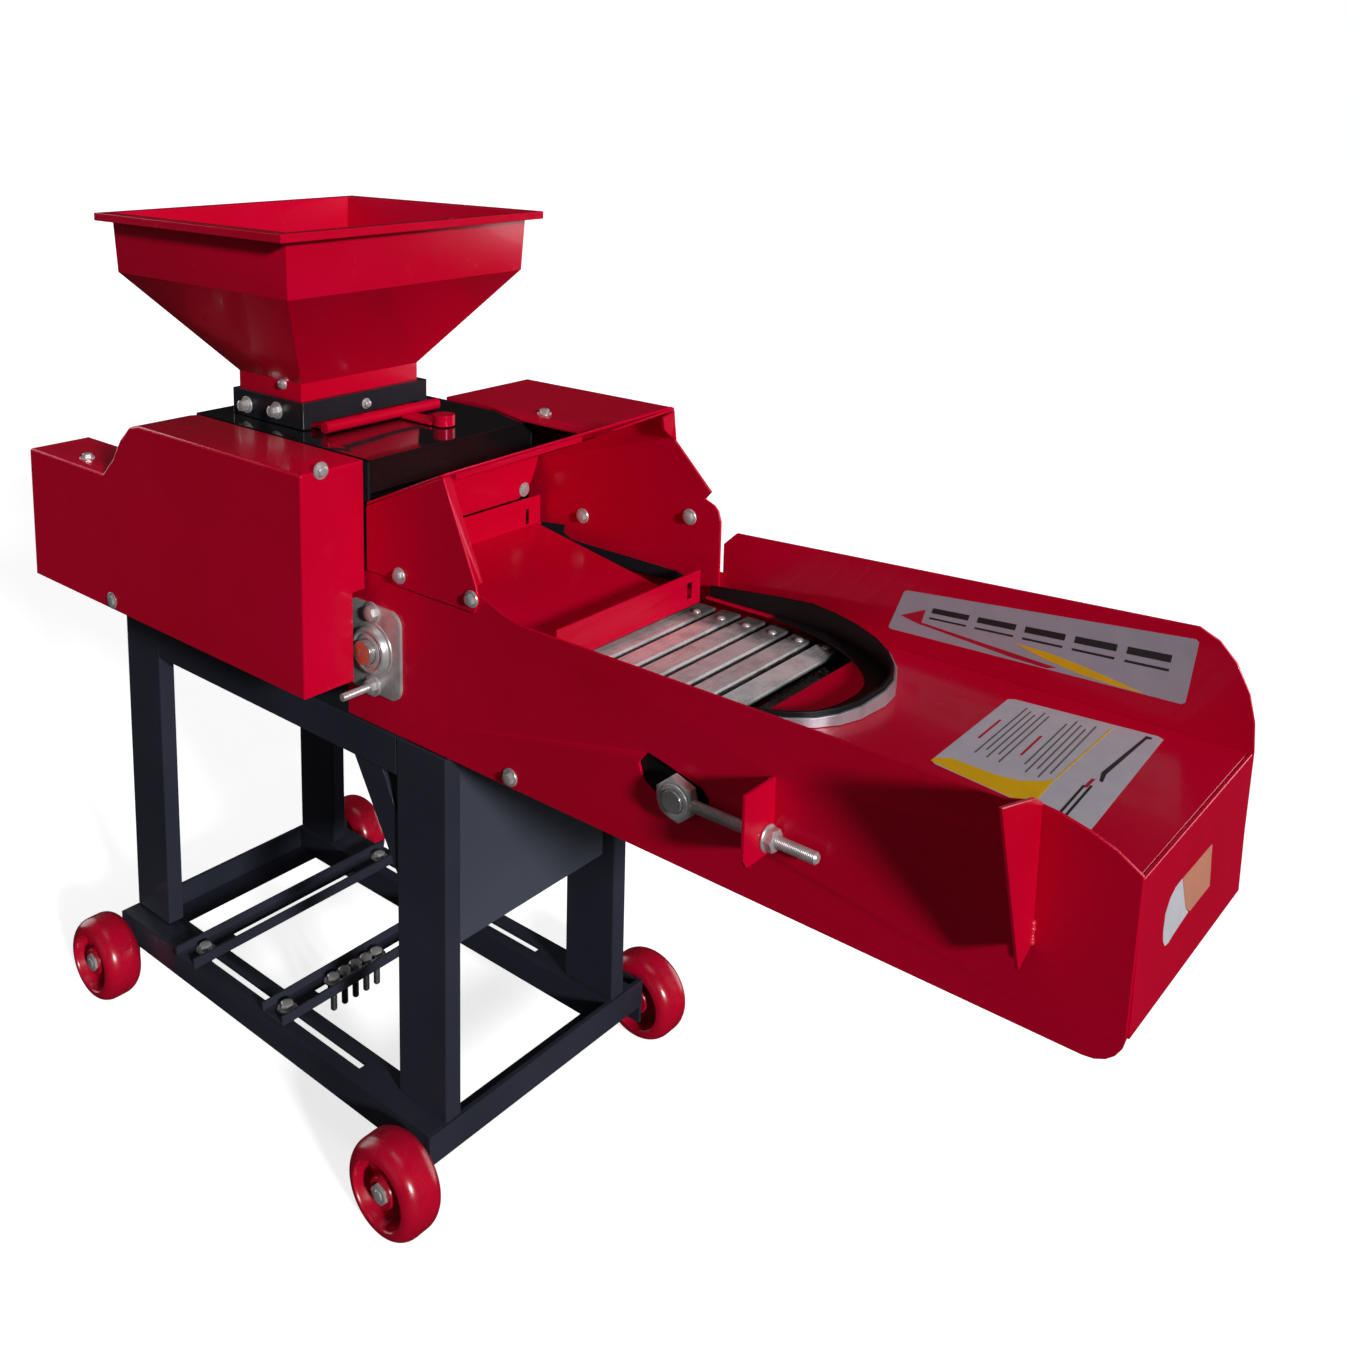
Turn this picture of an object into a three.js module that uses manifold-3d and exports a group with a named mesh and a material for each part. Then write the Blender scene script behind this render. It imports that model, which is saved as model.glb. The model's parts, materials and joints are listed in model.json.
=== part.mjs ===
// Mobile chaff cutter and grain grinder: chain-slat feed trough, knife rotor in a black
// housing, grain hopper with slide gate, belt guard, gear cover and a four-wheeled frame.
// Millimetres. +X along the feed trough to its tail, +Y away from the belt guard, +Z up.
import * as THREE from 'three';
import { mergeVertices } from 'three/addons/utils/BufferGeometryUtils.js';
import Module from 'manifold-3d';

const wasm = await Module();
wasm.setup();

// ---------------------------------------------------------------- driving dimensions
const SHEET = 3;                        // side plates and housing
const GAP = 0.3;                        // running or weld gap between separate pieces
const WHEEL = { r: 50, w: 48, bore: 6.5, xRear: -230, xFront: 297, yNear: -204, yFar: 197 };
const RAIL = { z0: 58, z1: 91, t: 4, x0: -240, x1: 312, near: -173, far: 106, w: 44 };
const LEG = { w: 70, d: 20, t: 4, z1: 479.7, xRear: -243, xFront: 244, near: -149, far: 113 };
const BODY = { x0: -83, x1: 205, yn: -146, yf: 90, z0: 480.6, top: 753 };
const TROUGH = { xe: 938, tray: 617, rim: 639, low: 504 };
const ROTOR = { x: 88, z: 600, r: 88, liner: 97 };
const LOWER = { x: 212, z: 562 };       // conveyor drive shaft, under the throat
const UPPER = { x: 200, z: 636, r: 26 };
const IDLER = { x: 160, z: 622.8 };
const TAIL = { x: 586, z: 545 };
const CHAIN = { head: 27.6, tail: 54.6, t: 6, slatH: 7.5, slatW: 20, pitch: 28.5 };

// ---------------------------------------------------------------- paint and metal
const paint = (color, roughness, metalness) => ({ color, roughness, metalness });
const RED = paint(0xb4002a, 0.32, 0.1);
const BLACK = paint(0x17181c, 0.35, 0.2);
const FRAME = paint(0x1d2026, 0.45, 0.2);
const STEEL = paint(0xb9bbbd, 0.35, 0.9);
const IRON = paint(0x6a6c70, 0.55, 0.8);
const PLASTIC = paint(0xc4122e, 0.4, 0.0);

// ---------------------------------------------------------------- solid helpers
function solid(geometry) {
  const g = geometry.index ? geometry : geometry.clone();
  for (const name of ['normal', 'uv']) if (g.attributes[name]) g.deleteAttribute(name);
  const m = mergeVertices(g, 1e-4);
  return new wasm.Manifold(new wasm.Mesh({
    numProp: 3,
    vertProperties: new Float32Array(m.attributes.position.array),
    triVerts: new Uint32Array(m.index.array),
  }));
}
const union = (...parts) => parts.reduce((a, b) => a.add(b));
const cut = (a, ...tools) => tools.reduce((s, b) => s.subtract(b), a);

function box(x0, x1, y0, y1, z0, z1) {
  const g = new THREE.BoxGeometry(x1 - x0, y1 - y0, z1 - z0);
  g.translate((x0 + x1) / 2, (y0 + y1) / 2, (z0 + z1) / 2);
  return solid(g);
}
function extrude(points, depth) {
  const shape = new THREE.Shape(points.map(([a, b]) => new THREE.Vector2(a, b)));
  return new THREE.ExtrudeGeometry(shape, { depth, bevelEnabled: false, curveSegments: 1 });
}
// profile in x,z swept from y0 to y1
function prismXZ(points, y0, y1) {
  const g = extrude(points, y1 - y0);
  g.rotateX(Math.PI / 2);
  g.translate(0, y1, 0);
  return solid(g);
}
// profile in x,y swept from z0 to z1
function prismXY(points, z0, z1) {
  const g = extrude(points, z1 - z0);
  g.translate(0, 0, z0);
  return solid(g);
}
// profile in y,z swept from x0 to x1
function prismYZ(points, x0, x1) {
  const g = extrude(points, x1 - x0);
  g.applyMatrix4(new THREE.Matrix4().set(0, 0, 1, x0, 1, 0, 0, 0, 0, 1, 0, 0, 0, 0, 0, 1));
  return solid(g);
}
// cylinder or hexagon along Y, X or Z
function rodY(x, z, r, y0, y1, n = 24) {
  const g = new THREE.CylinderGeometry(r, r, y1 - y0, n);
  g.translate(x, (y0 + y1) / 2, z);
  return solid(g);
}
function rodX(y, z, r, x0, x1, n = 16) {
  const g = new THREE.CylinderGeometry(r, r, x1 - x0, n);
  g.rotateZ(Math.PI / 2);
  g.translate((x0 + x1) / 2, y, z);
  return solid(g);
}
function rodZ(x, y, r, z0, z1, n = 20) {
  const g = new THREE.CylinderGeometry(r, r, z1 - z0, n);
  g.rotateX(Math.PI / 2);
  g.translate(x, y, (z0 + z1) / 2);
  return solid(g);
}
// turned part about an axis parallel to Y: profile of [radius, y] pairs from axis to axis
function turnedY(x, z, profile, n = 32) {
  const g = new THREE.LatheGeometry(profile.map(([r, y]) => new THREE.Vector2(r, y)), n);
  g.translate(x, 0, z);
  return solid(g);
}
// straight-sided hopper piece between two level rectangles [x0, x1, y0, y1]
function frustum(a, z0, b, z1) {
  const v = [];
  for (const [q, z] of [[a, z0], [b, z1]]) {
    v.push([q[0], q[2], z], [q[1], q[2], z], [q[1], q[3], z], [q[0], q[3], z]);
  }
  const faces = [0, 2, 1, 0, 3, 2, 4, 5, 6, 4, 6, 7];
  for (let i = 0; i < 4; i += 1) {
    const j = (i + 1) % 4;
    faces.push(i, j, j + 4, i, j + 4, i + 4);
  }
  const g = new THREE.BufferGeometry();
  g.setAttribute('position', new THREE.Float32BufferAttribute(v.flat(), 3));
  g.setIndex(faces);
  return solid(g);
}
const inset = (q, t) => [q[0] + t, q[1] - t, q[2] + t, q[3] - t];
function arc(cx, cz, r, a0, a1, n) {
  const pts = [];
  for (let i = 0; i <= n; i += 1) {
    const a = THREE.MathUtils.degToRad(a0 + ((a1 - a0) * i) / n);
    pts.push([cx + r * Math.cos(a), cz + r * Math.sin(a)]);
  }
  return pts;
}
const shell = (cx, cz, r0, r1, a0, a1, y0, y1, n) =>
  prismXZ([...arc(cx, cz, r1, a0, a1, n), ...arc(cx, cz, r0, a1, a0, n)], y0, y1);

// ---------------------------------------------------------------- assembly
const machine = new THREE.Group();
machine.name = 'chaff_cutter_grinder';
function add(name, body, look) {
  const m = body.getMesh();
  const g = new THREE.BufferGeometry();
  g.setAttribute('position', new THREE.Float32BufferAttribute(m.vertProperties, 3));
  g.setIndex(Array.from(m.triVerts));
  g.computeVertexNormals();
  const mesh = new THREE.Mesh(g, new THREE.MeshStandardMaterial(look));
  mesh.name = name;
  machine.add(mesh);
}

// ---- base rails: folded angles, slotted for the motor bars, with axle lugs
function sideRail(y0, slotY) {
  const { z0, z1, t, x0, x1, w } = RAIL;
  return cut(
    union(box(x0, x1, y0, y0 + t, z0, z1), box(x0, x1, y0, y0 + w, z1 - t, z1)),
    box(-115, 190, slotY - 5, slotY + 5, z1 - 10, z1 + 5),
  );
}
const lugHole = (x, y) => rodY(x, WHEEL.r, WHEEL.bore, y - 10, y + 10, 16);
const axleLug = (x0, x1, y) => box(x0, x1, y, y + 4, 36, RAIL.z1 - 2);
const endRail = (x0, x1, foot0, foot1) => union(
  box(x0, x1, RAIL.near - 0.5, 168.5, RAIL.z0 - 0.5, RAIL.z1 - 0.5),
  box(foot0, foot1, RAIL.near + 14, RAIL.far + 2, RAIL.z0 + 0.5, RAIL.z0 + 4),
);
add('base_frame', cut(
  union(
    sideRail(RAIL.near, -151), sideRail(RAIL.far, 126),
    endRail(-242, -237, -240, -204), endRail(310, 315, 277, 312),
    axleLug(-241, WHEEL.xRear + 20, RAIL.near - 0.2), axleLug(WHEEL.xFront - 20, 314, RAIL.near - 0.2),
    axleLug(-241, WHEEL.xRear + 20, 164), axleLug(WHEEL.xFront - 20, 314, 164),
  ),
  lugHole(WHEEL.xRear, RAIL.near), lugHole(WHEEL.xFront, RAIL.near),
  lugHole(WHEEL.xRear, 166), lugHole(WHEEL.xFront, 166),
), FRAME);

// ---- legs: folded channels standing on the rails, open side away from the guard
for (const [name, x, y] of [
  ['leg_rear_near', LEG.xRear, LEG.near], ['leg_rear_far', LEG.xRear, LEG.far],
  ['leg_front_near', LEG.xFront, LEG.near], ['leg_front_far', LEG.xFront, LEG.far],
]) {
  const { w, d, t, z1 } = LEG;
  const z0 = RAIL.z1 + GAP;
  add(name, union(
    box(x, x + w, y, y + t, z0, z1),
    box(x, x + t, y, y + d, z0, z1),
    box(x + w - t, x + w, y, y + d, z0, z1),
  ), FRAME);
}
// ---- upper rails and knee braces between the legs
const brace = [[164, 462], [177, 439.7], [243.7, 327], [243.7, 392], [219, 439.7], [207, 462]];
for (const [name, y, inner, plate] of [
  ['upper_rail_near', -149, -120, -146], ['upper_rail_far', 113, 84, 116]]) {
  const [ya, yb] = inner > y ? [y, inner] : [inner, y + 4];
  add(name, union(
    box(-172.7, 243.7, y, y + 4, 440, 479.7),
    box(-172.7, 243.7, ya, yb, 475.7, 479.7),
    prismXZ(brace, plate, plate + 5),
  ), FRAME);
}

// ---- motor bars: slotted channels that slide along the base rails
for (const [name, x0, y0, y1] of [['motor_bar_rear', -113, -180, 148],
  ['motor_bar_front', 43, -172, 150]]) {
  const z0 = RAIL.z1 + GAP;
  const x1 = x0 + 38;
  const xm = x0 + 19;
  add(name, cut(
    union(box(x0, x1, y0, y1, z0, z0 + 4), box(x0, x0 + 3, y0, y1, z0, z0 + 13),
      box(x1 - 3, x1, y0, y1, z0, z0 + 13)),
    box(xm - 5, xm + 5, -110, 84, z0 - 5, z0 + 9),
    rodZ(xm, -151, 4.2, z0 - 5, z0 + 9, 12), rodZ(xm, 126, 4.2, z0 - 5, z0 + 9, 12),
  ), FRAME);
}

// ---- wheels: rounded tread, recessed hub face, each on its own axle bolt
function wheelProfile(y, side) {
  const { r, w, bore } = WHEEL;
  const h = w / 2;
  const p = [
    [bore, -h + 9], [15, -h + 9], [19, -h + 12], [31, -h + 12], [35, -h + 1.5],
    [40, -h], [46, -h + 4], [r, -h + 13], [r, h - 13], [46, h - 4], [40, h],
    [35, h - 1.5], [31, h - 8], [15, h - 5], [bore, h - 5], [bore, -h + 9],
  ];
  return p.map(([a, b]) => [a, y + b * side]);
}
for (const [name, x, y, side] of [
  ['wheel_rear_near', WHEEL.xRear, WHEEL.yNear, 1], ['wheel_rear_far', WHEEL.xRear, WHEEL.yFar, -1],
  ['wheel_front_near', WHEEL.xFront, WHEEL.yNear, 1],
  ['wheel_front_far', WHEEL.xFront, WHEEL.yFar, -1],
]) {
  let profile = wheelProfile(y, side);
  if (side < 0) profile = profile.reverse();
  add(name, turnedY(x, WHEEL.r, profile, 40), PLASTIC);
  const out = y - side * 15.3;          // nut seat in the hub recess
  const lug = side > 0 ? RAIL.near : 168;
  const inner = lug + side * 4.3;
  const sort = (a, b) => [Math.min(a, b), Math.max(a, b)];
  add(name.replace('wheel', 'axle_bolt'), union(
    rodY(x, WHEEL.r, 6, ...sort(out - side * 8, inner + side * 7), 16),
    rodY(x, WHEEL.r, 11, ...sort(out, out - side * 7), 6),
    rodY(x, WHEEL.r, 11, ...sort(inner, inner + side * 6), 6),
  ), STEEL);
}

// ---- housing: black side walls, rear and front walls, glossy top plate, floor
const { yn, yf } = BODY;
const rotorHole = rodY(ROTOR.x, ROTOR.z, 13.2, -170, 170, 24);
const upperSlot = union(
  box(UPPER.x - 11, UPPER.x + 11, 80, 95, UPPER.z, UPPER.z + 14),
  rodY(UPPER.x, UPPER.z, 11, 80, 95, 20), rodY(UPPER.x, UPPER.z + 14, 11, 80, 95, 20),
);
const idlerHole = rodY(IDLER.x, IDLER.z, 9.8, 80, 100, 20);
const wall = (step) => [[BODY.x0, BODY.z0], [169.7, BODY.z0], [169.7, step], [204.2, step],
  [204.2, 749.7], [BODY.x0, 749.7]];
add('housing_wall_near', cut(prismXZ(wall(658.3), yn, yn + SHEET), rotorHole), BLACK);
add('housing_wall_far', cut(prismXZ(wall(640.3), yf, yf + SHEET), rotorHole, upperSlot, idlerHole),
  BLACK);
add('housing_rear', prismXZ([[BODY.x0, 749.7], [BODY.x0, 514], [22, 481], [149, 481],
  [149, 484], [22.5, 484], [-80, 516], [-80, 749.7]], yn + 3.3, yf - GAP), BLACK);
add('housing_top', cut(
  union(box(BODY.x0, 207, yn, yf + SHEET, 750, BODY.top),
    box(201, 204, yn + 3.3, yf - GAP, 718, 751)),
  box(-40, 52, -104, 48, 745, 760),
), BLACK);

// ---- crushing chamber liner, concave screen and shear bar around the rotor
const L = ROTOR.liner;
const inY = [yn + 3.6, yf - 0.6];
add('liner_upper', shell(ROTOR.x, ROTOR.z, L, L + 3, 34, 100, ...inY, 8), IRON);
let screen = shell(ROTOR.x, ROTOR.z, L, L + 2.5, 214, 318, ...inY, 16);
for (let i = 0; i < 5; i += 1) {
  const a = THREE.MathUtils.degToRad(226 + i * 20);
  for (const y of [-110, -55, 0, 55]) {
    const g = new THREE.BoxGeometry(12, 34, 22);
    g.rotateY(-a + Math.PI / 2);
    g.translate(ROTOR.x + L * Math.cos(a), y, ROTOR.z + L * Math.sin(a));
    screen = screen.subtract(solid(g));
  }
}
add('screen', screen, IRON);
add('liner_rear', union(
  shell(ROTOR.x, ROTOR.z, L, L + 3, 145, 212, ...inY, 8),
  prismXZ([[-79.5, 749.4], [-79.5, 745], [4, 651], [9, 655], [-75, 749.4]], ...inY),
), IRON);

// ---- rotor: shaft, two discs on a hub, three knives, pulley and pinion
add('rotor_shaft', union(rodY(ROTOR.x, ROTOR.z, 12.5, -222, 160, 24),
  rodY(ROTOR.x, ROTOR.z, 15.7, 144, 158, 24)), STEEL);
const discRing = (y0, y1, r) => rodY(ROTOR.x, ROTOR.z, r, y0, y1, 36);
add('rotor_drum', cut(
  union(discRing(-136, 80, 24), discRing(-132, -126, 66), discRing(70, 76, 66)),
  rodY(ROTOR.x, ROTOR.z, 12.8, -140, 90, 24),
), IRON);
for (let i = 0; i < 3; i += 1) {
  const g = new THREE.BoxGeometry(7, 206, 20.5);
  g.translate(0, -28, ROTOR.r - 10.8);
  g.rotateY(((i * 120 + 20) * Math.PI) / 180);
  g.translate(ROTOR.x, 0, ROTOR.z);
  add(`knife_${i + 1}`, solid(g), STEEL);
}
add('rotor_pulley', turnedY(ROTOR.x, ROTOR.z, [
  [12.8, -218], [30, -218], [30, -206], [50, -206], [50, -214], [64, -214], [54, -208], [54, -205],
  [64, -199], [64, -197], [54, -191], [54, -188], [64, -182], [50, -182], [50, -196], [30, -196],
  [30, -184], [12.8, -184], [12.8, -218],
], 40), IRON);

// rectangle in x,z with rounded corners: half-lengths hx and hz, corner radius r
const roundRect = (x, z, hx, hz, r) => [[1, 1, 0], [-1, 1, 90], [-1, -1, 180], [1, -1, 270]]
  .flatMap(([a, b, from]) => arc(x + a * (hx - r), z + b * (hz - r), r, from, from + 90, 4));

// ---- bearings: pressed flange units on both sides
function flangeBearing(x, z, bore, y, side, tall, boss = 24) {
  const at = (a, b) => (side > 0 ? [y + a, y + b] : [y - b, y - a]);
  const plate = union(
    rodY(x, z, 31, ...at(0, 3.2), 28),
    tall ? box(x - 30, x + 30, ...at(0, 3.2), z - 22, z + 22) : rodY(x, z, 31, ...at(0, 3), 28),
    rodY(x, z + 38, 14, ...at(0, 3.2), 16), rodY(x, z - 38, 14, ...at(0, 3.2), 16),
    box(x - 14, x + 14, ...at(0, 3.2), z - 38, z + 38),
    rodY(x, z, boss, ...at(1, 11), 28),
  );
  return cut(plate, rodY(x, z, bore, ...at(-5, 20), 24),
    rodY(x, z + 38, 4.3, ...at(-5, 9), 12), rodY(x, z - 38, 4.3, ...at(-5, 9), 12));
}
add('bearing_rotor_near', flangeBearing(ROTOR.x, ROTOR.z, 12.8, yn - GAP, -1, true), STEEL);
add('bearing_rotor_far', flangeBearing(ROTOR.x, ROTOR.z, 12.8, yf + SHEET + GAP, 1, true,
  19.5), STEEL);
const seat = yn - GAP;
add('bearing_drive_near', cut(
  union(prismXZ(roundRect(LOWER.x, LOWER.z, 40, 46, 15), seat - 3.2, seat),
    rodY(LOWER.x, LOWER.z, 24, seat - 11, seat - 1, 28)),
  rodY(LOWER.x, LOWER.z, 12.8, seat - 20, seat + 5, 24),
  rodY(LOWER.x, LOWER.z + 38, 4.3, seat - 9, seat + 5, 12),
  rodY(LOWER.x, LOWER.z - 38, 4.3, seat - 9, seat + 5, 12),
), STEEL);

// ---- feed hood: near and far cheeks, sloping roof with folded lip, throat deflector
const roofZ = (x) => 711 + 0.46 * (x - 205);
add('hood_cheek_near', cut(
  union(
    prismXZ([[204.5, 637], [352, 637], [357, 650], [354, 664], [312, roofZ(312) - 3.4],
      [204.5, roofZ(204.5) - 3.4]], yn - 3.3, yn - GAP),
    prismXZ([[354, 664], [312, roofZ(312) - 3.4], [309, roofZ(309) - 3.4], [351, 664]],
      yn - 3.2, yn + 7),
  ),
  box(180, 243, -175, -145, 500, 642),
), RED);
const roofPlan = [[205.5, -149.5], [310, -149.5], [313, -146], [394, 89.6], [205.5, 89.6]];
const roofSlab = (up, down) => prismXZ([[200, roofZ(200) - down], [420, roofZ(420) - down],
  [420, roofZ(420) - up], [200, roofZ(200) - up]], -150, 95);
add('hood_roof', union(
  prismXY(roofPlan, 690, 830).intersect(roofSlab(0, 3)),
  prismYZ([[-142, 675], [50, 675], [62, 681], [70, 690], [78, 706], [82, roofZ(222) - 1.5],
    [-142, roofZ(222) - 1.5]], 221, 224),
  prismXY([[312.5, -136], [316, -136], [360, -8], [357, -8]], 690, 830)
    .intersect(roofSlab(1, 9)),
), RED);
add('hood_cheek_far', cut(
  union(
    prismXZ([[205.5, 641], [219, 636], [433, 617.5], [449.5, 617.5], [457, 622], [457, 692],
      [454, 702], [449, 707], [438, 711.5], [445, 720], [400.5, 764], [397, roofZ(393) - 3.4],
      [205.5, roofZ(205.5) - 3.4]], yf - 3.4, yf - 0.4),
    prismYZ([[yf - 2, 793.5], [yf - 2, 765], [72, 777], [69, 790]], 395.5, 398.5),
  ),
  upperSlot,
), RED);

// ---- trough: side plates with shaft hole and take-up slots, tray, end cap, tail gussets
const lowerHole = rodY(LOWER.x, LOWER.z, 13.2, -170, 170, 24);
// chamfered take-up tab, welded square to a side plate whose outer face is at y
function takeupTab(y, out, rodAt) {
  const tab = [[y - out * 2, 531], [y + out * 36, 531], [y + out * 41, 538], [y + out * 41, 591],
    [y - out * 2, 591]];
  return cut(prismYZ(tab, 668, 671), rodX(rodAt, TAIL.z, 5.4, 660, 680, 12));
}
const slotXZ = [[540, 557], [549, 569], [560, 567], [604, 557], [611, 550], [611, 540], [604, 533],
  [560, 534], [545, 543]];
const takeupSlot = prismXZ(slotXZ, -160, 100);
add('side_plate_near', union(takeupTab(yn, -1, -155), cut(
  prismXZ([[170, BODY.z0], ...arc(910, 507, 26.4, -90, -5, 5), [938.4, 617], [938.4, 620],
    [921.5, 631], [903.5, 638], [884, 643], [866, 645], [846, TROUGH.rim], [408, TROUGH.rim], [385, 643], [362, 652], [340, 656], [320, 658],
    [170, 658]], yn, yn + SHEET),
  lowerHole, takeupSlot,
)), RED);
add('side_plate_far', union(takeupTab(yf + SHEET, 1, 101), cut(
  prismXZ([[170, BODY.z0], ...arc(910, 507, 26.4, -90, -5, 5), [938.4, 618], [937, 640],
    [932, 662], [921, 684], [908, 698], [893, 705], [474, 684], [459.5, 670], [459.5, 640],
    [170, 640]], yf, yf + SHEET),
  lowerHole, takeupSlot, upperSlot,
)), RED);
// rim plan around the tail of the slats: straight sides, elliptic end, squarer near corner
const RIM = { x0: 452, xc: 530, yc: -27, a: 168, b: 112, top: 641 };
function rimLine(d, x0 = RIM.x0) {
  const pts = [[x0, RIM.yc - RIM.b + d]];
  for (let i = 0; i <= 16; i += 1) {
    const t = THREE.MathUtils.degToRad(-90 + 11.25 * i);
    const power = t < 0 ? 0.71 : 1;
    const across = Math.sign(t) * Math.abs(Math.sin(t)) ** power;
    pts.push([RIM.xc + (RIM.a - d) * Math.abs(Math.cos(t)) ** power, RIM.yc + (RIM.b - d) * across]);
  }
  pts.push([x0, RIM.yc + RIM.b - d]);
  return pts;
}
add('tray', cut(
  box(450, 934.7, yn + 3.3, yf - GAP, 614.5, TROUGH.tray),
  prismXY(rimLine(9, 440), 610, 620).intersect(box(430, 632, -160, 100, 605, 625)),
), RED);
add('end_cap', union(
  box(935, 938, yn + 3.3, yf - GAP, TROUGH.low, TROUGH.tray),
  box(656, 936, yn + 3.3, yf - GAP, TROUGH.low, TROUGH.low + 2.5),
), RED);

// the rim itself: steel band outside, taller dark liner inside, both lower on the near side
const rim = (d0, d1, down) => prismXY([...rimLine(d0), ...rimLine(d1).reverse()], 617.3, 660)
  .intersect(prismYZ([[-160, 600], [110, 600], [110, RIM.top + 1.6 - down],
    [-160, RIM.top - 15.3 - down]], 440, 710))
  .intersect(prismXZ([[440, 600], [710, 600], [710, RIM.top + 2 - down], [590, RIM.top + 2 - down],
    [440, RIM.top - 14 - down]], -165, 115));
add('slat_rim_outer', rim(0, 2.4, 4), STEEL);
add('slat_rim_liner', rim(2.7, 5.4, 0), BLACK);

add('tail_gusset_near', union(
  prismXZ([[847, 628], [871, 644], [871, 560], [866, 530]], yn - 3.3, yn - GAP - 0.2),
  prismYZ([[yn - GAP, 647], [yn - 14, 655], [yn - 67, 669], [yn - 21, 535], [yn - GAP, 545]],
    870, 873),
), RED);

// ---- slat chain: two strands round head and tail with wooden-pitch steel slats
const dx = TAIL.x - LOWER.x;
const dz = TAIL.z - LOWER.z;
const span = Math.hypot(dx, dz);
const tilt = Math.atan2(dz, dx);
const open = Math.acos((CHAIN.head - CHAIN.tail) / span);
function loop(offset) {
  const pts = [];
  const head = CHAIN.head + offset;
  const tail = CHAIN.tail + offset;
  for (let i = 0; i <= 12; i += 1) {
    const a = tilt + open + ((2 * Math.PI - 2 * open) * i) / 12;
    pts.push([LOWER.x + head * Math.cos(a), LOWER.z + head * Math.sin(a)]);
  }
  for (let i = 0; i <= 16; i += 1) {
    const a = tilt - open + (2 * open * i) / 16;
    pts.push([TAIL.x + tail * Math.cos(a), TAIL.z + tail * Math.sin(a)]);
  }
  return pts;
}
const strand = (y0, y1) => cut(prismXZ(loop(CHAIN.t / 2), y0, y1),
  prismXZ(loop(-CHAIN.t / 2), y0 - 5, y1 + 5));
let chain = union(strand(-112, -102), strand(56, 66));
// a slat on the loop: contact angle a on the wheel (c, r), then distance s along the tangent
function slatAt(c, r, a, s = 0) {
  const along = a - Math.PI / 2;
  const g = new THREE.BoxGeometry(CHAIN.slatW, 212, CHAIN.slatH);
  g.translate(0, -23, CHAIN.t / 2 + CHAIN.slatH / 2 - 0.6);
  g.rotateY(-along);
  g.translate(c.x + r * Math.cos(a) + s * Math.cos(along), 0,
    c.z + r * Math.sin(a) + s * Math.sin(along));
  return solid(g);
}
const run = span * Math.sin(open);
const wrap = 2 * open * CHAIN.tail;
const back = (2 * Math.PI - 2 * open) * CHAIN.head;
const count = Math.round((2 * run + wrap + back) / CHAIN.pitch);
const pitch = (2 * run + wrap + back) / count;
for (let i = 0; i < count; i += 1) {
  const s = (run + 7 + i * pitch) % (count * pitch);
  if (s < run) {
    chain = chain.add(slatAt(LOWER, CHAIN.head, tilt + open, s));
  } else if (s < run + wrap) {
    chain = chain.add(slatAt(TAIL, CHAIN.tail, tilt + open - (s - run) / CHAIN.tail));
  } else if (s < 2 * run + wrap) {
    chain = chain.add(slatAt(TAIL, CHAIN.tail, tilt - open, s - run - wrap));
  } else {
    chain = chain.add(slatAt(LOWER, CHAIN.head, tilt - open - (s - 2 * run - wrap) / CHAIN.head));
  }
}
add('slat_chain', chain, STEEL);

// ---- conveyor drive shaft, tail shaft and take-up
const sprocket = (y) => rodY(LOWER.x, LOWER.z, CHAIN.head - CHAIN.t / 2 - 0.6, y, y + 8, 14);
add('drive_shaft', union(
  rodY(LOWER.x, LOWER.z, 12.5, -164, 141, 24), sprocket(-111), sprocket(57),
  rodY(LOWER.x, LOWER.z, 43.3, 104, 118, 40), rodY(LOWER.x, LOWER.z, 59.7, 124, 138, 48),
), STEEL);
const tailR = CHAIN.tail - CHAIN.t / 2 - 2.8;   // clears the chain when slackened
add('tail_shaft', union(
  rodY(TAIL.x, TAIL.z, 9.5, -163, 110, 20),
  rodY(TAIL.x, TAIL.z, tailR, -112, -102, 32), rodY(TAIL.x, TAIL.z, tailR, 56, 66, 32),
  rodY(TAIL.x, TAIL.z, 30, -103, 57, 24),
), STEEL);
for (const [side, y] of [['near', -155], ['far', 101]]) {
  add(`takeup_eye_${side}`, cut(
    union(rodY(TAIL.x, TAIL.z, 17, y - 5, y + 5, 6), rodX(y, TAIL.z, 5, TAIL.x + 13, 715, 12)),
    rodY(TAIL.x, TAIL.z, 9.8, y - 9, y + 9, 20),
  ), STEEL);
}
add('takeup_nut', cut(rodX(-155, TAIL.z, 9.5, 671.5, 680, 6),
  rodX(-155, TAIL.z, 5.3, 660, 690, 12)), STEEL);

// ---- upper feed roller, floating feed plate, gears on the far side
let roller = rodY(UPPER.x, UPPER.z, UPPER.r - 5, -138, 84, 24);
for (let i = 0; i < 8; i += 1) {
  const g = new THREE.BoxGeometry(5, 222, 12);
  g.translate(0, -27, UPPER.r - 6.2);
  g.rotateY((i * Math.PI) / 4);
  g.translate(UPPER.x, 0, UPPER.z);
  roller = roller.add(solid(g));
}
add('upper_roller', union(roller, rodY(UPPER.x, UPPER.z, 10, -141, 120, 20),
  rodY(UPPER.x, UPPER.z, 31.3, 104, 118, 40)), IRON);
add('feed_plate', cut(
  prismXZ([[227.5, 675], [227.5, 642.5], [444, 612], [446, 612], [446, 645], [444, 645],
    [444, 614.3], [229.5, 644.6], [229.5, 675]], yn + 3.6, 79),
  box(220, 235, 56, 61, 646, 663), box(440, 450, 50.5, 59, 619.5, 636),
  prismXY([[231, 90], [231, 73], [443, 60], [443, 72], [450, 72], [450, 90]], 600, 690),
), RED);
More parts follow.
